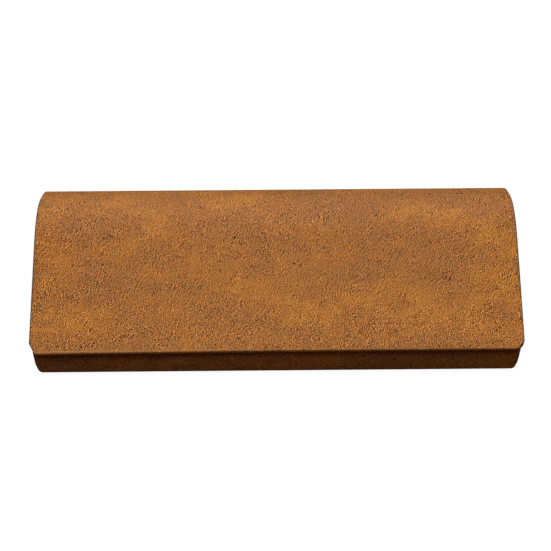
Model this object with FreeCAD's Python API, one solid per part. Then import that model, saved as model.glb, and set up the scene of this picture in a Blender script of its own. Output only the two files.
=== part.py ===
import FreeCAD, Part
import math
import os

# Fountain pen case: a hard shell of board wrapped in soft leather. The base trough, its two end
# walls and the pen bed stay put. The lid is one sheet, flat on top and curled down the back, and
# swings on a leather hinge low on the back. Millimetres, X along the case, front towards -Y, +Z up,
# origin under the middle of the closed case.

# Whole case
case_length = 180.0
case_depth = 75.0
case_height = 35.0

# Layers of the wrapped walls
skin = 0.7
glue = 0.1
board = 1.0
lining = 0.7
edge_round = 0.8
turn_in = 4.0

# Curves of the shell, seen from the end and from above
back_sweep = math.radians(66.0)
heel_radius = 12.0
front_foot_radius = 10.0
rear_foot_radius = 6.0
flap_corner_radius = 2.5

# Lid fit and leather hinge
lid_overhang = 1.7
lid_gap = 0.4
hinge_gap = 4.4
hinge_end_gap = 1.0

# End walls
end_board = 1.2
end_inset = 1.5
end_border = 1.5
end_lid_gap = 0.5

# Magnet closure in the front rim
batten_depth = 6.0
batten_height = 8.0
magnet_length = 20.0
magnet_width = 4.0
magnet_height = 2.0
keeper_length = 24.0
keeper_width = 6.0
closure_spacing = 100.0
pocket_gap = 0.1

# Rear wall behind the pens
rear_board = 1.2
rear_rise = 2.0
wrap_round = 0.6

# Pen bed and straps
bed_top = 15.0
bed_cloth = 0.6
bed_land = 3.85
groove_count = 3
groove_radius = 7.5
groove_end = 6.6
strap_width = 10.0
strap_thickness = 1.0
strap_spacing = 92.0
strap_tuck = 6.0
strap_edge = 1.65
slit_gap = 0.1

# Depths of the layers, counted inwards from the outside face
board_out = skin + glue
board_in = board_out + board
lining_out = board_in + glue
wall = lining_out + lining
seat = wall + glue
wrap = lining + glue

# Places along the section
y_tip = -case_depth / 2
y_back = case_depth / 2
y_front = y_tip + lid_overhang
rim_z = case_height - wall - lid_gap
lid_edge_z = rear_foot_radius + hinge_gap
back_drop = case_height - lid_edge_z
back_radius = (back_drop - heel_radius * math.cos(back_sweep)) / (1 - math.cos(back_sweep))
y_curl = y_back - back_radius * math.sin(back_sweep) - heel_radius * (1 - math.sin(back_sweep))

# Places along the case
half_length = case_length / 2
end_outer = half_length - end_inset
end_board_out = end_outer - skin - glue
end_board_in = end_board_out - end_board
end_lining_out = end_board_in - glue
end_inner = end_lining_out - lining
half_span = end_inner - glue

# Places of the batten, rear wall, bed and straps, which follow from the shell
closure_xs = (-closure_spacing / 2, closure_spacing / 2)
batten_front = y_front + seat
batten_rear = batten_front + batten_depth
batten_top = rim_z - wrap
batten_foot = batten_top - batten_height
closure_y = batten_front + batten_depth / 2
rear_top = bed_top + rear_rise
curl_rise = rear_top - (case_height - back_radius)
lid_inside_y = y_curl + math.sqrt((back_radius - wall) ** 2 - curl_rise ** 2)
rear_face = min(lid_inside_y - lid_gap, y_back - rear_foot_radius)
rear_front_face = rear_face - rear_board - 2 * wrap
bed_front = y_front + seat
bed_rear = rear_front_face - glue
first_groove_y = bed_front + bed_land + groove_radius
last_groove_y = bed_rear - bed_land - groove_radius
groove_pitch = (last_groove_y - first_groove_y) / (groove_count - 1)
groove_ys = [first_groove_y + groove_pitch * i for i in range(groove_count)]
groove_length = 2 * (half_span - groove_end)
strap_xs = (-strap_spacing / 2, strap_spacing / 2)
strap_leg_ys = (bed_front + strap_edge, bed_rear - strap_edge)

# Tolerances of the modelling steps
SMALL = 1e-4
SHARP = math.radians(30.0)


def rounded_wire(points, x):
    """A closed wire at x through (y, z, corner radius) points, without lines of no length."""
    count = len(points)
    spots = [FreeCAD.Vector(x, y, z) for y, z, radius in points]
    corners = []
    for i, (y, z, radius) in enumerate(points):
        here = spots[i]
        back = (spots[i - 1] - here).normalize()
        ahead = (spots[(i + 1) % count] - here).normalize()
        half_angle = back.getAngle(ahead) / 2
        if radius <= 0:
            corners.append((here, None, here))
            continue
        reach = radius / math.tan(half_angle)
        inwards = (back + ahead).normalize()
        middle = here + inwards * (radius / math.sin(half_angle) - radius)
        corners.append((here + back * reach, middle, here + ahead * reach))
    edges = []
    for i, (start, middle, end) in enumerate(corners):
        if middle is not None:
            edges.append(Part.Arc(start, middle, end).toShape())
        following = corners[(i + 1) % count][0]
        if end.distanceToPoint(following) > SMALL:
            edges.append(Part.LineSegment(end, following).toShape())
    return Part.Wire(edges)


def prism(points, x_from, x_to):
    """A solid of one rounded section, running along X."""
    face = Part.Face(rounded_wire(points, x_from))
    return face.extrude(FreeCAD.Vector(x_to - x_from, 0, 0))


def bar(y_from, y_to, z_from, z_to, half, radius=0):
    """A straight bar along X, its two upper corners rounded."""
    section = [
        (y_from, z_from, 0),
        (y_to, z_from, 0),
        (y_to, z_to, radius),
        (y_from, z_to, radius),
    ]
    return prism(section, -half, half)


def block_at(x, y, length, width, z_from, z_to):
    """An upright block centred on x and y."""
    corner = FreeCAD.Vector(x - length / 2, y - width / 2, z_from)
    return Part.makeBox(length, width, z_to - z_from, corner)


def lid_line(depth, trim):
    """The lid's section from its front tip to the hinge, at a depth below the outside face."""
    large = back_radius - depth
    small = heel_radius - depth
    large_turn = back_sweep / 2
    small_turn = (math.pi / 2 - back_sweep) / 2
    return [
        (y_tip + trim, case_height - depth, 0),
        (y_curl + large * math.tan(large_turn), case_height - depth, large),
        (y_back - depth, lid_edge_z + small * math.tan(small_turn), small),
        (y_back - depth, lid_edge_z, 0),
    ]


def base_line(depth, trim):
    """The trough's section from its front rim to the hinge, at a depth below the outside face."""
    return [
        (y_front + depth, rim_z - trim, 0),
        (y_front + depth, depth, front_foot_radius - depth),
        (y_back - depth, depth, rear_foot_radius - depth),
        (y_back - depth, rear_foot_radius, 0),
    ]


def end_line(inset):
    """The outline of an end wall: seated in the trough, and clear of the lid above it."""
    below = base_line(seat + inset, 0)
    above = lid_line(wall + end_lid_gap + inset, 0)
    front_corner = (below[0][0], above[0][1], 0)
    return [front_corner] + below[1:] + above[:0:-1]


def bed_line(top):
    """The pen bed's section, seated in the front foot of the trough and against the rear wall."""
    return [
        (bed_front, top, 0),
        (bed_front, seat, front_foot_radius - seat),
        (bed_rear, seat, 0),
        (bed_rear, top, 0),
    ]


def sheet(line, outer, inner, trim):
    """One layer of the shell between two depths, trimmed alike at its free edge and its sides."""
    section = line(outer, trim) + line(inner, trim)[::-1]
    solid = prism(section, trim - half_length, half_length - trim)
    corner_radius = flap_corner_radius - trim
    if line is base_line or corner_radius <= 0:
        return solid
    front = y_tip + trim + SMALL
    corners = [e for e in solid.Edges if e.BoundBox.YMax < front and e.BoundBox.XLength < SMALL]
    return solid.makeFillet(corner_radius, corners)


def is_sharp(solid, edge):
    """Whether the two faces at an edge meet at an angle."""
    point = edge.valueAt((edge.FirstParameter + edge.LastParameter) / 2)
    normals = []
    for face in solid.ancestorsOfType(edge, Part.Face):
        u, v = face.Surface.parameter(point)
        normals.append(face.normalAt(u, v))
    return len(normals) == 2 and normals[0].getAngle(normals[1]) > SHARP


def wrapped_cover(line):
    """Leather over one half of the shell, folded in round the board's free edge and sides."""
    whole = sheet(line, 0, wall, 0)
    outline = []
    for edge in whole.Edges:
        box = edge.BoundBox
        at_hinge = box.YMin > y_back - wall - SMALL and box.ZLength < SMALL
        if is_sharp(whole, edge) and not at_hinge:
            outline.append(edge)
    folded = whole.makeFillet(edge_round, outline)
    pocket = sheet(line, skin, lining_out, skin)
    window = sheet(line, lining_out, wall, turn_in)
    return folded.cut(pocket).cut(window)


def end_plate(side, x_outer, x_inner, inset):
    return prism(end_line(inset), side * x_outer, side * x_inner)


def end_nodes(side, name):
    """An end wall: board, leather folded over its edge from outside, and lining inside."""
    whole = end_plate(side, end_outer, end_inner, 0)
    pocket = end_plate(side, end_outer - skin, end_lining_out, skin)
    window = end_plate(side, end_lining_out, end_inner, end_border)
    nodes[name + "_end_skin"] = whole.cut(pocket).cut(window)
    nodes[name + "_end_board"] = end_plate(side, end_board_out, end_board_in, board_out)
    nodes[name + "_end_lining"] = end_plate(side, end_lining_out, end_inner, end_border + glue)


def grooves(extra):
    """The pens' half-round grooves, side by side along the bed, grown by extra on every side."""
    length = groove_length + 2 * extra
    along = FreeCAD.Vector(1, 0, 0)
    shapes = []
    for y in groove_ys:
        start = FreeCAD.Vector(-length / 2, y, bed_top)
        shapes.append(Part.makeCylinder(groove_radius + extra, length, start, along))
    return shapes


def strap_slits():
    """Where the straps' ends go down through the bed."""
    length = strap_width + 2 * slit_gap
    width = strap_thickness + 2 * slit_gap
    floor = bed_top - strap_tuck - slit_gap
    slits = []
    for x in strap_xs:
        for y in strap_leg_ys:
            slits.append(block_at(x, y, length, width, floor, bed_top))
    return slits


def strap(x):
    """Elastic webbing laid over the ridges, its ends tucked down into the bed."""
    front = strap_leg_ys[0] - strap_thickness / 2
    rear = strap_leg_ys[1] + strap_thickness / 2
    foot = bed_top - strap_tuck
    top = bed_top + strap_thickness
    section = [
        (front, foot, 0),
        (front, top, strap_thickness),
        (rear, top, strap_thickness),
        (rear, foot, 0),
        (rear - strap_thickness, foot, 0),
        (rear - strap_thickness, bed_top, 0),
        (front + strap_thickness, bed_top, 0),
        (front + strap_thickness, foot, 0),
    ]
    return prism(section, x - strap_width / 2, x + strap_width / 2)


nodes = {}

# Lid: leather over a bent board with two steel keepers let into its front edge, and a lining
keeper_slots = []
keepers = []
lid_board_top = case_height - board_out
lid_board_foot = case_height - board_in
for x in closure_xs:
    keepers.append(block_at(x, closure_y, keeper_length, keeper_width, lid_board_foot, lid_board_top))
    slot_length = keeper_length + 2 * pocket_gap
    slot_width = keeper_width + 2 * pocket_gap
    keeper_slots.append(block_at(x, closure_y, slot_length, slot_width, lid_board_foot, lid_board_top))
nodes["lid_skin"] = wrapped_cover(lid_line)
nodes["lid_board"] = sheet(lid_line, board_out, board_in, board_out).cut(keeper_slots)
nodes["lid_keepers"] = Part.makeCompound(keepers)
nodes["lid_lining"] = sheet(lid_line, lining_out, wall, turn_in + glue)

# Base trough: the same three layers, from the front rim round under the bed to the hinge
nodes["base_skin"] = wrapped_cover(base_line)
nodes["base_board"] = sheet(base_line, board_out, board_in, board_out)
nodes["base_lining"] = sheet(base_line, lining_out, wall, turn_in + glue)

# Leather hinge, and the cloth tape pressed down on it between the two boards
tape_face = y_back - board_out
hinge_half = half_length - hinge_end_gap
nodes["hinge_strip"] = bar(y_back - skin, y_back, rear_foot_radius, lid_edge_z, hinge_half)
nodes["hinge_tape"] = bar(tape_face - lining, tape_face, rear_foot_radius, lid_edge_z, hinge_half)

# End walls
end_nodes(-1, "left")
end_nodes(1, "right")

# Front batten with its magnets, and the cloth folded round it
magnets = []
magnet_pockets = []
magnet_foot = batten_top - magnet_height
for x in closure_xs:
    magnets.append(block_at(x, closure_y, magnet_length, magnet_width, magnet_foot, batten_top))
    pocket_length = magnet_length + 2 * pocket_gap
    pocket_width = magnet_width + 2 * pocket_gap
    pocket_foot = magnet_foot - pocket_gap
    magnet_pockets.append(block_at(x, closure_y, pocket_length, pocket_width, pocket_foot, batten_top))
batten = bar(batten_front, batten_rear, batten_foot, batten_top, half_span)
nodes["front_batten"] = batten.cut(magnet_pockets)
nodes["closure_magnets"] = Part.makeCompound(magnets)
batten_wrap = bar(batten_front, batten_rear + wrap, batten_foot - wrap, rim_z, half_span)
batten_room = bar(batten_front, batten_rear + glue, batten_foot - glue, batten_top + glue, half_span)
nodes["batten_cloth"] = batten_wrap.cut(batten_room)

# Rear wall that keeps the pens off the hinge, and its cloth
rear_wrap = bar(rear_front_face, rear_face, seat, rear_top, half_span, wrap_round)
rear_room = bar(rear_front_face + lining, rear_face - lining, seat, rear_top - lining, half_span)
rear_plate_front = rear_front_face + wrap
rear_plate_rear = rear_face - wrap
nodes["rear_wall"] = bar(rear_plate_front, rear_plate_rear, seat, rear_top - wrap, half_span)
nodes["rear_wall_cloth"] = rear_wrap.cut(rear_room)

# Foam pen bed, its flocked cloth and the two straps
foam_depth = bed_cloth + glue
foam = prism(bed_line(bed_top - foam_depth), -half_span, half_span)
nodes["pen_bed"] = foam.cut(grooves(foam_depth) + strap_slits())
bed_whole = prism(bed_line(bed_top), -half_span, half_span).cut(grooves(0) + strap_slits())
below_cloth = block_at(0, 0, case_length, case_depth, 0, bed_top - bed_cloth)
nodes["pen_bed_cloth"] = bed_whole.cut(below_cloth.cut(grooves(bed_cloth)))
for name, x in zip(("left", "right"), strap_xs):
    nodes[name + "_strap"] = strap(x)

os.makedirs("parts", exist_ok=True)
for name, shape in nodes.items():
    shape.exportStep("parts/" + name + ".step")
    print(name, shape.isValid(), len(shape.Solids), round(shape.Volume, 1))
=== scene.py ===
import bmesh
import bpy
import math
from mathutils import Matrix, Vector


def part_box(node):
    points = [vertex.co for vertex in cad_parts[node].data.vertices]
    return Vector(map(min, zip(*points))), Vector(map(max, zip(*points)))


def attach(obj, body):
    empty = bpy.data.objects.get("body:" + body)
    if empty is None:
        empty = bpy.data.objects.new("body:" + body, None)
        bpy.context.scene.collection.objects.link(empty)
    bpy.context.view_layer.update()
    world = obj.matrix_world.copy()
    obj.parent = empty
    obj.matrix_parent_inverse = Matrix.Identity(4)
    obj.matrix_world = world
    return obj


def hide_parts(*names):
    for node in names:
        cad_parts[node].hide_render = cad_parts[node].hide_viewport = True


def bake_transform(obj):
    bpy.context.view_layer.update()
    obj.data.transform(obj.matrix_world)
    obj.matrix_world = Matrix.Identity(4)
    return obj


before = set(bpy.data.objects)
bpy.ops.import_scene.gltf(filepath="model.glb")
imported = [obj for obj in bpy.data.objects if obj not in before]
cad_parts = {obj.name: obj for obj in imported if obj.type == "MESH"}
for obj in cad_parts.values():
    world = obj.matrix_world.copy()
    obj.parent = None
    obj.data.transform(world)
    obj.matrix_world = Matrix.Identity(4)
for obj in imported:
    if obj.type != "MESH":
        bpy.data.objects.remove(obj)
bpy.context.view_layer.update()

# A closed pen case: leather folded round bent boards, a leather hinge, and a lined inside for three pens
# Lengths are in metres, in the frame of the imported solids
MM = 0.001
TINY = 0.01 * MM
ALONG = (1, 0, 0)
ACROSS = (0, 1, 0)
UPRIGHT = (0, 0, 1)
SHARP = math.radians(35)

# Layers of the wrapped walls
leather = 0.7 * MM
board = 1 * MM
lining = 0.7 * MM
wall = 2.6 * MM
glue = 0.1 * MM
seat = wall + glue
lid_fold_round = 0.5 * MM
base_fold_round = 0.75 * MM
cloth_round = 0.25 * MM

# Curves of the shell, seen from the end and from above
back_sweep = 66
heel_radius = 12 * MM
front_foot = 10 * MM
left_flap_cut_back = 4.2 * MM
left_flap_cut_along = 2.1 * MM
right_flap_corner = 3.5 * MM
rim_corner = 3.6 * MM
flap_skew = 0.6 * MM
foot_narrow = 1.15 * MM
foot_narrow_from = 15 * MM
foot_narrow_to = 6.5 * MM
rim_narrow = 0.8 * MM
rim_narrow_from = 17 * MM
back_narrow = 0.55 * MM
back_narrow_from = 23 * MM
back_narrow_to = 34 * MM

# The shell's places, from the frame
lid_low, lid_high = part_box("lid_skin")
base_low, base_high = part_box("base_skin")
half_length = lid_high.x
tip_y, back_y = lid_low.y, lid_high.y
top_z, lid_edge_z = lid_high.z, lid_low.z
front_y, rim_z = base_low.y, base_high.z
rear_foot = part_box("hinge_strip")[0].z

# The free part of the hinge, between the two covers' straight hems
hem = 0.4 * MM
lid_hem_z = lid_edge_z - hem
base_hem_z = rear_foot + hem
hinge_gap = lid_hem_z - base_hem_z

# Centres of the lid's two arcs and of the base's two feet
sweep = math.radians(back_sweep)
back_radius = (top_z - lid_edge_z - heel_radius * math.cos(sweep)) / (1 - math.cos(sweep))
curl_y = back_y - back_radius * math.sin(sweep) - heel_radius * (1 - math.sin(sweep))
curl_centre = (0, curl_y, top_z - back_radius)
heel_centre = (0, back_y - heel_radius, lid_edge_z)
front_foot_centre = (0, front_y + front_foot, front_foot)
rear_foot_centre = (0, back_y - rear_foot, rear_foot)

# How the sheets are divided: the border folded inside is one column wide
columns = 40
border = 2 * half_length / columns
top_rows, curl_rows, heel_rows = 10, 22, 8
front_rows, front_foot_rows, floor_rows, rear_foot_rows = 5, 14, 12, 16
hinge_rows = 10
cloth_bend_rows = 5
wrap_bend_rows = 12
corner_segments = 6
fold_segments = 5
end_front_rows, end_rear_rows, end_heel_rows, end_curl_rows = 10, 8, 4, 16
groove_arc_rows, lip_rows, ball_rows, groove_rows = 12, 4, 20, 10
bed_foot_segments, bed_edge_segments = 8, 3
strap_columns, strap_end_rows, strap_bend_rows, strap_rows = 6, 2, 6, 24

# The groove pressed along the hinge: its depth, and the share by which it draws the layers together
hinge_dip = 0.45 * MM
hinge_pinch = 0.42

# End walls
end_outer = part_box("right_end_skin")[1].x
end_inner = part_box("right_end_skin")[0].x
end_border = 1.5 * MM
end_lid_gap = 0.5 * MM
end_round = 0.7 * MM

# Pen bed and straps
bed_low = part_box("pen_bed")[0]
bed_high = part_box("pen_bed_cloth")[1]
groove_radius = 7.5 * MM
groove_end = 6.6 * MM
groove_land = 3.85 * MM
groove_count = 3
lip_round = 0.7 * MM
bed_edge_round = 0.5 * MM
slit_gap = 0.1 * MM
strap_bend = 1.2 * MM
strap_thickness = 1 * MM
cloth_bend = 1.3 * MM
keeper_length = 24 * MM


def linear(code):
    """The linear colour of an sRGB hex value."""
    shares = [int(code[i:i + 2], 16) / 255 for i in (1, 3, 5)]
    return [s / 12.92 if s <= 0.04045 else ((s + 0.055) / 1.055) ** 2.4 for s in shares] + [1]


def add(tree, kind, inputs=None, stops=(), **settings):
    """Adds a node with its settings, its inputs as values or links, and a ramp's colour stops."""
    node = tree.nodes.new("ShaderNode" + kind)
    for name, value in settings.items():
        setattr(node, name, value)
    for key, value in (inputs or {}).items():
        if isinstance(value, bpy.types.NodeSocket):
            tree.links.new(value, node.inputs[key])
        else:
            node.inputs[key].default_value = value
    for i, (position, code) in enumerate(stops):
        if i >= len(node.color_ramp.elements):
            node.color_ramp.elements.new(position)
        node.color_ramp.elements[i].position = position
        node.color_ramp.elements[i].color = linear(code)
    return node


def new_material(name):
    """A node material without nodes, and its tree."""
    material = bpy.data.materials.new(name)
    material.use_nodes = True
    material.node_tree.nodes.clear()
    return material, material.node_tree


def coat(tree, **inputs):
    """Ends a material in one surface shader. A space in an input's name is written as _ here."""
    shader = add(tree, "BsdfPrincipled", {name.replace("_", " "): value for name, value in inputs.items()})
    add(tree, "OutputMaterial", {"Surface": shader.outputs["BSDF"]})


def run(bm, row, by, steps=1):
    """Carries a row of edges, or of points, along a straight line and leaves a sheet or line behind."""
    step = Vector(by) / steps
    for _ in range(steps):
        if isinstance(row[0], bmesh.types.BMVert):
            row = bmesh.ops.extrude_vert_indiv(bm, verts=row)["verts"]
            moved = row
        else:
            grown = bmesh.ops.extrude_edge_only(bm, edges=row)["geom"]
            moved = [g for g in grown if isinstance(g, bmesh.types.BMVert)]
            edges = [g for g in grown if isinstance(g, bmesh.types.BMEdge)]
            row = [e for e in edges if set(e.verts) <= set(moved)]
        bmesh.ops.translate(bm, verts=moved, vec=step)
    return row


def turn(bm, row, centre, degrees, steps, axis=ALONG):
    """Carries a row of edges, or of points, round an arc."""
    angle = math.radians(degrees)
    spun = bmesh.ops.spin(bm, geom=row, cent=centre, axis=axis, angle=angle, steps=steps)["geom_last"]
    return [g for g in spun if isinstance(g, type(row[0]))]


def line_along(x_from, x_to, y, z, parts):
    """A new mesh that holds one line along the case, in even parts."""
    bm = bmesh.new()
    line = bm.edges.new([bm.verts.new((x, y, z)) for x in (x_from, x_to)])
    if parts > 1:
        bmesh.ops.subdivide_edges(bm, edges=[line], cuts=parts - 1)
    return bm, bm.edges[:]


def lay_lid(bm, row, straight):
    """Carries a row from near the lid's front edge to its hinge edge."""
    row = run(bm, row, (0, straight, 0), top_rows)
    row = turn(bm, row, curl_centre, -back_sweep, curl_rows)
    row = turn(bm, row, heel_centre, back_sweep - 90, heel_rows)
    return run(bm, row, (0, 0, -hem))


def lay_base(bm, row, straight):
    """Carries a row from near the base's front rim, under the case, to its hinge edge."""
    row = run(bm, row, (0, 0, -straight), front_rows)
    row = turn(bm, row, front_foot_centre, 90, front_foot_rows)
    row = run(bm, row, (0, rear_foot_centre[1] - front_foot_centre[1], 0), floor_rows)
    row = turn(bm, row, rear_foot_centre, 90, rear_foot_rows)
    return run(bm, row, (0, 0, hem))


def round_corner(bm, place, radius, segments=corner_segments):
    """Rounds one corner of a sheet, seen flat, or cuts it off where there is one segment."""
    corner = [v for v in bm.verts if (v.co - Vector(place)).length < TINY]
    bmesh.ops.bevel(
        bm, geom=corner, offset=radius, affect="VERTICES", segments=segments, profile=0.5, material=-1
    )


def nowhere(v):
    return False


def fold_cover(bm, depth, radius, at_hinge=nowhere):
    """Folds a sheet round the free edges of a board and down on its inside, as a border."""
    inside = bmesh.ops.solidify(bm, geom=bm.faces[:], thickness=depth)["geom"]
    bm.normal_update()
    folds = [e for e in bm.edges if e.calc_face_angle(0) > SHARP and not all(map(at_hinge, e.verts))]
    on_fold = {v for e in folds for v in e.verts}
    window = [g for g in inside if isinstance(g, bmesh.types.BMFace) and not on_fold & set(g.verts)]
    bmesh.ops.bevel(
        bm, geom=folds, offset=radius, affect="EDGES", segments=fold_segments, profile=0.5, material=-1,
        clamp_overlap=True,
    )
    cut = [f for f in bm.faces if all(map(at_hinge, f.verts))]
    bmesh.ops.delete(bm, geom=window + cut, context="FACES")


def press_hinge(bm):
    """Presses the sheet between the two boards into a soft groove."""
    for v in bm.verts:
        if v.co.z < lid_hem_z - TINY:
            press = math.sin(math.pi * (lid_hem_z - v.co.z) / hinge_gap) ** 2
            depth = back_y - v.co.y
            v.co.y = back_y - hinge_dip * press - depth * (1 - hinge_pinch * press)


def soften(bm, radius, segments=2):
    """Rounds every sharp edge of a piece."""
    bm.normal_update()
    edges = [e for e in bm.edges if e.calc_face_angle(0) > SHARP]
    bmesh.ops.bevel(
        bm, geom=edges, offset=radius, affect="EDGES", segments=segments, profile=0.5, material=-1,
        clamp_overlap=True,
    )


def piece(name, bm, material, nodes, body=None):
    """Makes an object of a finished mesh. Its patterns stay on its rest places when it is posed."""
    for f in bm.faces:
        f.smooth = True
    mesh = bpy.data.meshes.new(name)
    bm.to_mesh(mesh)
    bm.free()
    mesh.set_sharp_from_angle(angle=SHARP)
    mesh.materials.append(material)
    places = mesh.attributes.new("rest_place", "FLOAT_VECTOR", "POINT")
    places.data.foreach_set("vector", [c for v in mesh.vertices for c in v.co])
    made = bpy.data.objects.new(name, mesh)
    bpy.context.scene.collection.objects.link(made)
    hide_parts(*nodes)
    if body:
        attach(made, body)
    return made


def millimetres(tree, place=None):
    """A piece's rest places, or other places, in millimetres, for patterns of a real size."""
    place = place or add(tree, "Attribute", attribute_name="rest_place").outputs["Vector"]
    return add(tree, "VectorMath", {0: place, "Scale": 1 / MM}, operation="SCALE").outputs["Vector"]


def solid_millimetres(tree):
    """The places of a rigid piece, in millimetres."""
    return millimetres(tree, add(tree, "TexCoord").outputs["Object"])


def noise(tree, place, size, **inputs):
    """Soft random blots of one size in millimetres, from 0 to 1."""
    return add(tree, "TexNoise", {"Vector": place, "Scale": 1 / size, **inputs}).outputs["Fac"]


def laid(tree, place, turned=0, scale=(1, 1, 1)):
    """Places turned about the upright and drawn out, for a pattern with a direction."""
    inputs = {"Vector": place, "Rotation": (0, 0, turned), "Scale": scale}
    return add(tree, "Mapping", inputs).outputs["Vector"]


def share(tree, value, start, end, last=1.0, first=0.0):
    """Turns a span of a value, from start to end, into a share that runs evenly from first to last."""
    inputs = {"Value": value, "From Min": start, "From Max": end, "To Min": first, "To Max": last}
    return add(tree, "MapRange", inputs).outputs["Result"]


def calc(tree, operation, *values):
    """The result of one arithmetic step on single values."""
    return add(tree, "Math", dict(enumerate(values)), operation=operation).outputs["Value"]


def over(tree, amount, below, code):
    """A colour laid over another by an amount."""
    return add(tree, "Mix", {0: amount, 6: below, 7: linear(code)}, data_type="RGBA").outputs[2]


def tones(tree, value, *stops):
    """The colours of a pattern, from its low values to its high ones."""
    return add(tree, "ValToRGB", {"Fac": value}, stops=stops).outputs["Color"]


def relief(tree, height, strength, depth):
    """Fine relief that only the light sees."""
    inputs = {"Height": height, "Strength": strength, "Distance": depth * MM}
    return add(tree, "Bump", inputs).outputs["Normal"]


# The leather's patterns, in millimetres. The grain is drawn coarser than real, to show in a picture
drift_size, drift_reach = 7, 4
cloud_size, cloud_turn, cloud_draw = 20, -0.9, (0.6, 1, 1)
grain_size, grain_turn, grain_draw = 0.36, -0.6, (1, 0.95, 1)
lee_step = (0.042, -0.083, 0)
grain_gain, grain_offset = 1.4, -0.2
# Spans of the grain's slope that are painted as shade and as highlights
pit_shade_span = (0, -0.06)
crest_highlight_span = (0.01, 0.085)
strong_grain, weak_grain = 1.6, 1.2
cloud_span = (0.41, 0.59)

# Painted highlight along the flap's front edge, where its rounded edge catches the light, and painted
# shade on the leather's faces turned to the sides
lit_edge_front, lit_edge_height, lit_edge_most = (-36.8, -37.4), (34.4, 34.8), 0.45
shaded_side_reach, shaded_side_turn, shaded_side_most = (88.8, 88.9), (0.02, 0.35), 0.85


def tan_leather():
    """Tan leather with a waxed finish: fine worm-like grain with painted shade in its pits and painted
    highlights on its crests, over golden and brown clouds, with a painted highlight along the flap's front
    edge, painted shade on its sides and a dull gloss."""
    material, tree = new_material("tan_waxed_leather")
    place = millimetres(tree)
    drift = add(tree, "TexNoise", {"Vector": place, "Scale": 1 / drift_size, "Detail": 1}).outputs["Color"]
    shift = add(tree, "VectorMath", {0: drift, 1: (0.5, 0.5, 0.5)}, operation="SUBTRACT").outputs["Vector"]
    pulled = add(
        tree, "VectorMath", {0: shift, 1: (drift_reach,) * 3, 2: place}, operation="MULTIPLY_ADD"
    ).outputs["Vector"]

    swath = laid(tree, pulled, cloud_turn, cloud_draw)
    clouds = noise(tree, swath, cloud_size, Detail=4, Roughness=0.76)
    tone = tones(tree, clouds, (0.4, "#5E3220"), (0.47, "#844A1F"), (0.53, "#9F601A"), (0.6, "#C47E1B"))

    # The marks are the slopes of the grain: its height less its height a small step to the side. This
    # paints light and shade on the grain as if lit from one side: painted shade in the pits, painted
    # highlights on the crests
    combed = laid(tree, pulled, grain_turn, grain_draw)
    beside = add(tree, "VectorMath", {0: combed, 1: lee_step}, operation="ADD").outputs["Vector"]
    grain, lee = [noise(tree, where, grain_size, Detail=1.5) for where in (combed, beside)]
    slope = calc(tree, "SUBTRACT", calc(tree, "MULTIPLY_ADD", grain, grain_gain, grain_offset), lee)
    strength = share(tree, clouds, *cloud_span, weak_grain, strong_grain)
    pit_shade = calc(tree, "MULTIPLY", share(tree, slope, *pit_shade_span), strength)
    crest_highlight = calc(tree, "MULTIPLY", share(tree, slope, *crest_highlight_span), strength)
    # Painted shade, nearly black, in the grain's pits and a painted pale highlight on its crests
    grain_painted_light = over(tree, crest_highlight, over(tree, pit_shade, tone, "#150A03"), "#EA9A4C")

    spot = add(tree, "SeparateXYZ", {"Vector": place}).outputs
    # Painted highlight: a pale band along the top of the flap's front edge
    forward = share(tree, spot["Y"], *lit_edge_front, lit_edge_most)
    upper = share(tree, spot["Z"], *lit_edge_height)
    edge_highlight = over(tree, calc(tree, "MULTIPLY", forward, upper), grain_painted_light, "#B4854F")

    # Painted shade: darker leather on faces turned to the sides, at the case's outermost ends
    facing = add(tree, "SeparateXYZ", {"Vector": add(tree, "NewGeometry").outputs["Normal"]}).outputs["X"]
    turned = share(tree, calc(tree, "ABSOLUTE", facing), *shaded_side_turn, shaded_side_most)
    outer = share(tree, calc(tree, "ABSOLUTE", spot["X"]), *shaded_side_reach)
    side_shaded = over(tree, calc(tree, "MULTIPLY", turned, outer), edge_highlight, "#48342A")
    coat(
        tree, Base_Color=side_shaded, Roughness=0.6, Specular_IOR_Level=0.15,
        Normal=relief(tree, grain, 0.5, 0.3),
    )
    return material


def lining_cloth():
    """Brushed brown lining cloth: a close, matt nap with a faint sheen. It is drawn coarser than real."""
    material, tree = new_material("brushed_lining_cloth")
    nap = noise(tree, millimetres(tree), 0.5, Detail=3)
    coat(
        tree, Base_Color=tones(tree, nap, (0.3, "#4A3426"), (0.7, "#654A37")), Roughness=0.85,
        Specular_IOR_Level=0.15, Sheen_Weight=0.15, Sheen_Tint=linear("#C9A88A"),
        Normal=relief(tree, nap, 0.4, 0.1),
    )
    return material


def bed_flock():
    """Dark brown flock: a dull velvet pile that lies this way and that, with a soft sheen at its edges.
    The pile is drawn coarser than real."""
    material, tree = new_material("velvet_flock")
    place = millimetres(tree)
    lie, pile = noise(tree, place, 9, Detail=3), noise(tree, place, 0.45, Detail=2)
    mixed = add(tree, "Mix", {0: 0.4, 2: pile, 3: lie}).outputs[0]
    coat(
        tree, Base_Color=tones(tree, mixed, (0.3, "#2C1C13"), (0.7, "#4A3325")), Roughness=0.95,
        Specular_IOR_Level=0.1, Sheen_Weight=0.5, Sheen_Roughness=0.4, Sheen_Tint=linear("#C9A88A"),
        Normal=relief(tree, pile, 0.5, 0.2),
    )
    return material


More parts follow.
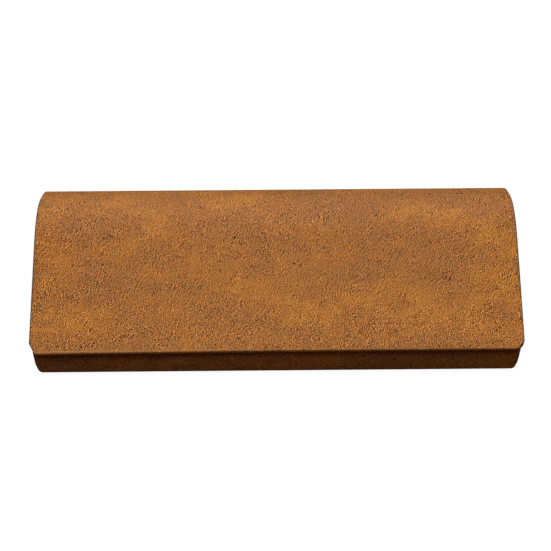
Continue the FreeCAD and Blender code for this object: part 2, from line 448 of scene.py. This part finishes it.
def elastic_webbing():
    """Woven elastic in dark brown: ribs along the band, crossed by close picks of yarn."""
    material, tree = new_material("woven_elastic")
    place = millimetres(tree)
    # A wave pattern of scale 1 repeats every 0.314 mm
    wave_length, rib, pick = 0.314, 1.1, 0.7
    ribs = add(tree, "TexWave", {"Vector": place, "Scale": wave_length / rib}, bands_direction="X")
    picks = add(tree, "TexWave", {"Vector": place, "Scale": wave_length / pick}, bands_direction="Y")
    weave = calc(tree, "MULTIPLY", ribs.outputs["Fac"], picks.outputs["Fac"])
    coat(
        tree, Base_Color=tones(tree, weave, (0.0, "#21130A"), (0.8, "#543A26")), Roughness=0.75,
        Specular_IOR_Level=0.15, Normal=relief(tree, weave, 0.6, 0.2),
    )
    return material


def grey_board():
    """Pressed grey board: pulp with pale and dark flecks, quite matt."""
    material, tree = new_material("pressed_grey_board")
    flecks = noise(tree, solid_millimetres(tree), 1.2, Detail=4, Roughness=0.7)
    coat(
        tree, Base_Color=tones(tree, flecks, (0.3, "#77746D"), (0.7, "#A19D94")), Roughness=0.95,
        Specular_IOR_Level=0.2,
    )
    return material


def planed_softwood():
    """Planed softwood: pale wood with fine streaks along the batten."""
    material, tree = new_material("planed_softwood")
    streaks = noise(tree, laid(tree, solid_millimetres(tree), scale=(0.06, 1, 1)), 1.5, Detail=3)
    coat(tree, Base_Color=tones(tree, streaks, (0.3, "#B98E66"), (0.7, "#D6B48C")), Roughness=0.6)
    return material


def rubbed_metal(name, code, roughness):
    """Metal with faint rubbing marks along the piece that break up its gloss."""
    material, tree = new_material(name)
    marks = noise(tree, laid(tree, solid_millimetres(tree), scale=(0.1, 1, 1)), 0.5, Detail=2)
    spread = 0.08
    rough = share(tree, marks, 0, 1, roughness + spread, roughness - spread)
    coat(tree, Base_Color=linear(code), Metallic=1, Roughness=rough)
    return material


leather_finish = tan_leather()
lining_finish = lining_cloth()
flock_finish = bed_flock()
webbing_finish = elastic_webbing()
board_finish = grey_board()
wood_finish = planed_softwood()
magnet_finish = rubbed_metal("dark_sintered_magnet", "#3A3A3C", 0.5)
steel_finish = rubbed_metal("zinc_plated_steel", "#B4B8BC", 0.38)


def lid_at_hinge(v):
    return abs(v.co.z - lid_hem_z) < TINY


def base_at_hinge(v):
    return abs(v.co.z - base_hem_z) < TINY and v.co.y > rear_foot_centre[1]


def narrow_back(bm, side):
    """Draws the sides of the lid in, smoothly, where it curls down the back."""
    for v in bm.verts:
        if abs(v.co.x) > side - TINY:
            far = min(1, max(0, (v.co.y - back_narrow_from) / (back_narrow_to - back_narrow_from)))
            v.co.x *= 1 - back_narrow / side * far * far * (3 - 2 * far)


def lid_bent_board():
    """The lid's board, bent as one sheet with holes for the keepers, and cut to the leather's outline."""
    side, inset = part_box("lid_board")[1].x, leather + glue
    bm, row = line_along(side, -side, tip_y + inset, top_z - inset, columns)
    lay_lid(bm, row, curl_y - tip_y - inset)
    round_corner(bm, (-side, tip_y + inset, top_z - inset), left_flap_cut_back)
    round_corner(bm, (side, tip_y + inset, top_z - inset), right_flap_corner - inset)
    narrow_back(bm, side)
    keeper_low, keeper_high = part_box("lid_keepers")
    hole_end, hole_start = keeper_high.x + glue, keeper_high.x - keeper_length - glue
    hole_front, hole_back = keeper_low.y - glue, keeper_high.y + glue
    cuts = [((x, 0, 0), ALONG) for x in (-hole_end, -hole_start, hole_start, hole_end)]
    cuts += [((0, y, 0), ACROSS) for y in (hole_front, hole_back)]
    for place, facing in cuts:
        everything = bm.verts[:] + bm.edges[:] + bm.faces[:]
        bmesh.ops.bisect_plane(bm, geom=everything, plane_co=place, plane_no=facing, dist=TINY)
    holes = []
    for f in bm.faces:
        middle = f.calc_center_median()
        if hole_start < abs(middle.x) < hole_end and hole_front < middle.y < hole_back:
            holes.append(f)
    bmesh.ops.delete(bm, geom=holes, context="FACES")
    bmesh.ops.solidify(bm, geom=bm.faces[:], thickness=board)
    return piece("lid_bent_board", bm, board_finish, ["lid_board"], "lid")


def lid_leather():
    """The lid's leather with the hinge that goes on below it, folded in round its free edges."""
    bm, row = line_along(half_length, -half_length, tip_y, top_z, columns)
    lay_lid(bm, row, curl_y - tip_y)
    round_corner(bm, (-half_length, tip_y, top_z), left_flap_cut_back, 1)
    # The cut reaches less far along the front edge than back along the side
    cut_end = Vector((left_flap_cut_back - half_length, tip_y, top_z))
    for v in bm.verts:
        if (v.co - cut_end).length < TINY:
            v.co.x = left_flap_cut_along - half_length
    round_corner(bm, (half_length, tip_y, top_z), right_flap_corner)
    for v in bm.verts:
        to_front = max(0, (curl_y - v.co.y) / (curl_y - tip_y))
        to_left = max(0, -v.co.x / half_length)
        v.co.y -= flap_skew * to_front * to_left
    narrow_back(bm, half_length)
    fold_cover(bm, wall, lid_fold_round, lid_at_hinge)
    hem_line = [e for e in bm.edges if e.is_boundary and all(map(lid_at_hinge, e.verts))]
    run(bm, hem_line, (0, 0, -hinge_gap), hinge_rows)
    press_hinge(bm)
    bmesh.ops.solidify(bm, geom=bm.faces[:], thickness=leather)
    made = piece("lid_leather", bm, leather_finish, ["lid_skin", "hinge_strip"])
    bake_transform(made)
    return made


def narrow_base(bm, side):
    """Draws the sides of the base in, in a round towards its foot and a little towards its rim."""
    for v in bm.verts:
        outermost = max(0, 1 - (side - abs(v.co.x)) / border)
        low = min(1, max(0, (foot_narrow_from - v.co.z) / (foot_narrow_from - foot_narrow_to)))
        high = max(0, (v.co.z - rim_narrow_from) / (rim_z - rim_narrow_from))
        drawn_in = foot_narrow * (1 - math.sqrt(1 - low * low)) + rim_narrow * high
        v.co.x *= 1 - drawn_in * outermost / side


def base_bent_board():
    """The base's board, bent as one sheet and cut to the leather's outline."""
    side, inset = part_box("base_board")[1].x, leather + glue
    bm, row = line_along(-side, side, front_y + inset, rim_z - inset, columns)
    lay_base(bm, row, rim_z - inset - front_foot)
    for x in (-side, side):
        round_corner(bm, (x, front_y + inset, rim_z - inset), rim_corner - inset)
    narrow_base(bm, side)
    bmesh.ops.solidify(bm, geom=bm.faces[:], thickness=board)
    return piece("base_bent_board", bm, board_finish, ["base_board"], "base")


def base_leather():
    """The base's leather: front wall, round feet and underside, folded in round its free edges."""
    bm, row = line_along(-half_length, half_length, front_y, rim_z, columns)
    lay_base(bm, row, rim_z - front_foot)
    for x in (-half_length, half_length):
        round_corner(bm, (x, front_y, rim_z), rim_corner)
    narrow_base(bm, half_length)
    fold_cover(bm, wall, base_fold_round, base_at_hinge)
    bmesh.ops.solidify(bm, geom=bm.faces[:], thickness=leather)
    return piece("base_leather", bm, leather_finish, ["base_skin"], "base")


def lid_lining():
    """The lid's lining with the hinge tape that goes on below it."""
    inset = border + glue
    side = half_length - inset
    bm, row = line_along(-side, side, tip_y + inset, top_z - wall, columns - 2)
    row = lay_lid(bm, row, curl_y - tip_y - inset)
    run(bm, row, (0, 0, -hinge_gap), hinge_rows)
    press_hinge(bm)
    bmesh.ops.solidify(bm, geom=bm.faces[:], thickness=lining)
    soften(bm, cloth_round)
    made = piece("lid_lining_cloth", bm, lining_finish, ["lid_lining", "hinge_tape"])
    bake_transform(made)
    return made


def base_lining():
    """The lining of the base's trough."""
    inset = border + glue
    side = half_length - inset
    bm, row = line_along(side, -side, front_y + wall, rim_z - inset, columns - 2)
    lay_base(bm, row, rim_z - inset - front_foot)
    bmesh.ops.solidify(bm, geom=bm.faces[:], thickness=lining)
    soften(bm, cloth_round)
    return piece("base_lining_cloth", bm, lining_finish, ["base_lining"], "base")


def end_outline(x, inset, facing):
    """A flat sheet in the outline of an end wall, with its face to one side."""
    bm = bmesh.new()
    below, above = seat + inset, wall + end_lid_gap + inset
    start = Vector((x, front_y + below, top_z - above))
    line = run(bm, [bm.verts.new(start)], (0, 0, front_foot - start.z))
    line = turn(bm, line, front_foot_centre, 90, end_front_rows)
    line = run(bm, line, (0, rear_foot_centre[1] - front_foot_centre[1], 0))
    line = turn(bm, line, rear_foot_centre, 90, end_rear_rows)
    line = run(bm, line, (0, below - above, lid_edge_z - rear_foot))
    line = turn(bm, line, heel_centre, 90 - back_sweep, end_heel_rows)
    line = turn(bm, line, curl_centre, back_sweep, end_curl_rows)
    run(bm, line, (0, start.y - line[0].co.y, 0))
    bmesh.ops.remove_doubles(bm, verts=bm.verts[:], dist=TINY)
    bmesh.ops.contextual_create(bm, geom=bm.edges[:])
    bm.normal_update()
    if bm.faces[:][0].normal.x * facing < 0:
        bmesh.ops.reverse_faces(bm, faces=bm.faces[:])
    return bm


def end_wall(name, side):
    """One end wall's leather, folded over the board's edge from outside, and the lining in its window."""
    bm = end_outline(side * end_outer, 0, side)
    bmesh.ops.inset_region(
        bm, faces=bm.faces[:], thickness=end_border, use_even_offset=True, use_boundary=True
    )
    fold_cover(bm, end_outer - end_inner, end_round)
    bmesh.ops.solidify(bm, geom=bm.faces[:], thickness=leather)
    cover = piece(name + "_end_leather", bm, leather_finish, [name + "_end_skin"], "base")
    bm = end_outline(side * end_inner, end_border + glue, -side)
    bmesh.ops.solidify(bm, geom=bm.faces[:], thickness=lining)
    soften(bm, cloth_round)
    cloth_name, node = name + "_end_lining_cloth", name + "_end_lining"
    cloth = piece(cloth_name, bm, lining_finish, [node], "base")


def rim_cloth():
    """Cloth folded round the batten behind the front rim, over its top, back and foot."""
    low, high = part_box("batten_cloth")
    bend_y = high.y - cloth_bend
    bm, row = line_along(high.x, low.x, low.y, high.z, columns)
    row = run(bm, row, (0, bend_y - low.y, 0))
    row = turn(bm, row, (0, bend_y, high.z - cloth_bend), -90, cloth_bend_rows)
    row = run(bm, row, (0, 0, low.z - high.z + 2 * cloth_bend))
    row = turn(bm, row, (0, bend_y, low.z + cloth_bend), -90, cloth_bend_rows)
    run(bm, row, (0, low.y - bend_y, 0))
    bmesh.ops.solidify(bm, geom=bm.faces[:], thickness=lining)
    return piece("rim_cloth", bm, lining_finish, ["batten_cloth"], "base")


def rear_wall_wrap():
    """Cloth hung over the wall behind the pens."""
    low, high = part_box("rear_wall_cloth")
    bend = (high.y - low.y) / 2
    bm, row = line_along(high.x, low.x, low.y, low.z, columns)
    row = run(bm, row, (0, 0, high.z - bend - low.z))
    row = turn(bm, row, (0, low.y + bend, high.z - bend), -180, wrap_bend_rows)
    run(bm, row, (0, 0, low.z - high.z + bend))
    bmesh.ops.solidify(bm, geom=bm.faces[:], thickness=lining)
    return piece("rear_wall_wrap", bm, lining_finish, ["rear_wall_cloth"], "base")


def upright_pocket(bm, low, high):
    """An upright box with a floor at the low z and no roof."""
    middle, size = (low + high) / 2, (high - low) / 2
    place = Matrix.Translation((middle.x, middle.y, low.z))
    floor_verts = bmesh.ops.create_grid(
        bm, x_segments=1, y_segments=1, size=1, matrix=place @ Matrix.Diagonal((size.x, size.y, 1, 1))
    )["verts"]
    edges = list({e for v in floor_verts for e in v.link_edges})
    run(bm, edges, (0, 0, 2 * size.z))


def pen_groove(bm, y):
    """One pen groove: a half-round trough with ball ends and a soft lip, open at the top."""
    top = bed_high.z
    reach = bed_high.x - groove_end - groove_radius
    upright_at = math.acos(lip_round / groove_radius)
    lip_y = y + groove_radius * math.sin(upright_at) + lip_round
    line = [bm.verts.new((reach, y, top - groove_radius))]
    line = turn(bm, line, (reach, y, top), math.degrees(upright_at), groove_arc_rows)
    turn(bm, line, (reach, lip_y, top - lip_round), -90, lip_rows)
    row = turn(bm, bm.edges[:], (reach, y, 0), -180, ball_rows, UPRIGHT)
    row = run(bm, row, (-2 * reach, 0, 0), groove_rows)
    row = turn(bm, row, (-reach, y, 0), -180, ball_rows, UPRIGHT)
    run(bm, row, (2 * reach, 0, 0), groove_rows)
    bmesh.ops.remove_doubles(bm, verts=bm.verts[:], dist=TINY)


def on_bed_side(v):
    at_end = abs(abs(v.co.x) - bed_high.x) < TINY
    return at_end or abs(v.co.y - bed_low.y) < TINY or abs(v.co.y - bed_high.y) < TINY


def pen_bed():
    """The foam bed under its flocked cloth, with three grooves and slits for the straps' ends."""
    bm = bmesh.new()
    first_y = bed_low.y + groove_land + groove_radius
    last_y = bed_high.y - groove_land - groove_radius
    pitch = (last_y - first_y) / (groove_count - 1)
    pen_groove(bm, first_y)
    first_groove = bm.faces[:]
    for i in range(1, groove_count):
        copied = bmesh.ops.duplicate(bm, geom=first_groove)["geom"]
        moved = [g for g in copied if isinstance(g, bmesh.types.BMVert)]
        bmesh.ops.translate(bm, verts=moved, vec=(0, pitch * i, 0))
    for node in ("left_strap", "right_strap"):
        low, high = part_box(node)
        for y_from, y_to in ((low.y, low.y + strap_thickness), (high.y - strap_thickness, high.y)):
            upright_pocket(
                bm, Vector((low.x - slit_gap, y_from - slit_gap, low.z - slit_gap)),
                Vector((high.x + slit_gap, y_to + slit_gap, bed_high.z)),
            )
    upright_pocket(bm, bed_low, bed_high)
    bmesh.ops.triangle_fill(bm, use_beauty=True, edges=[e for e in bm.edges if e.is_boundary])
    bmesh.ops.recalc_face_normals(bm, faces=bm.faces[:])
    foot = [e for e in bm.edges if all((v.co - bed_low).yz.length < TINY for v in e.verts)]
    bmesh.ops.bevel(
        bm, geom=foot, offset=front_foot - seat, affect="EDGES", segments=bed_foot_segments, profile=0.5,
        material=-1,
    )
    outside = [e for e in bm.edges if e.calc_face_angle(0) > SHARP and all(map(on_bed_side, e.verts))]
    bmesh.ops.bevel(
        bm, geom=outside, offset=bed_edge_round, affect="EDGES", segments=bed_edge_segments, profile=0.5,
        material=-1,
    )
    made = piece("flocked_pen_bed", bm, flock_finish, ["pen_bed", "pen_bed_cloth"], "base")
    made.modifiers.new("level_tops", "WEIGHTED_NORMAL").keep_sharp = True
    return made


def strap(name, node):
    """Elastic webbing across the bed, its ends tucked down into the slits."""
    low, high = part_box(node)
    bm, row = line_along(high.x, low.x, low.y, low.z, strap_columns)
    row = run(bm, row, (0, 0, high.z - strap_bend - low.z), strap_end_rows)
    row = turn(bm, row, (0, low.y + strap_bend, high.z - strap_bend), -90, strap_bend_rows)
    row = run(bm, row, (0, high.y - low.y - 2 * strap_bend, 0), strap_rows)
    row = turn(bm, row, (0, high.y - strap_bend, high.z - strap_bend), -90, strap_bend_rows)
    run(bm, row, (0, 0, low.z - high.z + strap_bend), strap_end_rows)
    bmesh.ops.solidify(bm, geom=bm.faces[:], thickness=strap_thickness)
    soften(bm, cloth_round)
    return piece(name, bm, webbing_finish, [node], "base")


# The soft pieces, with the sizes that they were cut to
lid_bent_board()
lid_leather()
base_bent_board()
base_leather()
lid_lining()
base_lining()
end_wall("left", -1)
end_wall("right", 1)
rim_cloth()
rear_wall_wrap()
pen_bed()
for side in ("left", "right"):
    webbing = strap(side + "_webbing", side + "_strap")

# The rigid pieces under the covers keep their solids
for node, finish in {
    "left_end_board": board_finish, "right_end_board": board_finish,
    "rear_wall": board_finish, "front_batten": wood_finish, "closure_magnets": magnet_finish,
    "lid_keepers": steel_finish,
}.items():
    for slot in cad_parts[node].material_slots:
        slot.material = finish

# Plain white floor
floor_reach = 3
floor_bm = bmesh.new()
bmesh.ops.create_grid(floor_bm, x_segments=1, y_segments=1, size=floor_reach)
floor_mesh = bpy.data.meshes.new("floor")
floor_bm.to_mesh(floor_mesh)
floor_bm.free()
floor = bpy.data.objects.new("floor", floor_mesh)
bpy.context.scene.collection.objects.link(floor)

# White paper that glows, so that it stays plain white round a faint contact shadow
floor_material, floor_tree = new_material("white_paper")
coat(
    floor_tree, Base_Color=linear("#555555"), Roughness=0.9,
    Emission_Color=linear("#FFFFFF"), Emission_Strength=0.95,
)
floor_mesh.materials.append(floor_material)
floor.visible_diffuse = False
floor.visible_glossy = False


def soft_light(name, place, size, watts):
    """A square soft light that looks at the middle of the floor."""
    lamp = bpy.data.lights.new(name, "AREA")
    lamp.shape = "SQUARE"
    lamp.size = size
    lamp.energy = watts
    made = bpy.data.objects.new(name, lamp)
    made.location = place
    made.rotation_euler = (-Vector(place)).to_track_quat("-Z", "Y").to_euler()
    bpy.context.scene.collection.objects.link(made)


# A close light on the lid, a high small one that throws the flap's shadow, and fill from round about
soft_light("key_light", place=(0.01, -0.03, 0.55), size=0.3, watts=1.06)
soft_light("front_light", place=(0, -0.34, 1.5), size=0.2, watts=8.6)
soft_light("back_light", place=(0, 1.4, 0.5), size=0.6, watts=13)
soft_light("left_light", place=(-1.3, 0.25, 0.6), size=0.6, watts=0.6)
soft_light("right_light", place=(1.3, 0.25, 0.6), size=0.6, watts=0.6)

# Faint warm light from all sides
world = bpy.data.worlds.new("studio")
world.use_nodes = True
sky = world.node_tree.nodes["Background"].inputs
sky["Color"].default_value = linear("#FFB89E")
sky["Strength"].default_value = 0.045
bpy.context.scene.world = world
bpy.context.scene.view_settings.view_transform = "Standard"

# Camera at the photograph's viewing angle
camera_aim = Vector((-0.27, -8.19, 35.0)) * MM
camera_distance = 609.07 * MM
camera_elevation = math.radians(67.16)
camera_side = math.radians(-0.515)
camera_lens = 107.93
toward_camera = Vector((
    math.sin(camera_side) * math.cos(camera_elevation),
    -math.cos(camera_side) * math.cos(camera_elevation),
    math.sin(camera_elevation),
))
camera = bpy.data.objects.new("camera", bpy.data.cameras.new("camera"))
camera.data.lens = camera_lens
camera.location = camera_aim + toward_camera * camera_distance
camera.rotation_euler = (-toward_camera).to_track_quat("-Z", "Y").to_euler()
bpy.context.scene.collection.objects.link(camera)
bpy.context.scene.camera = camera
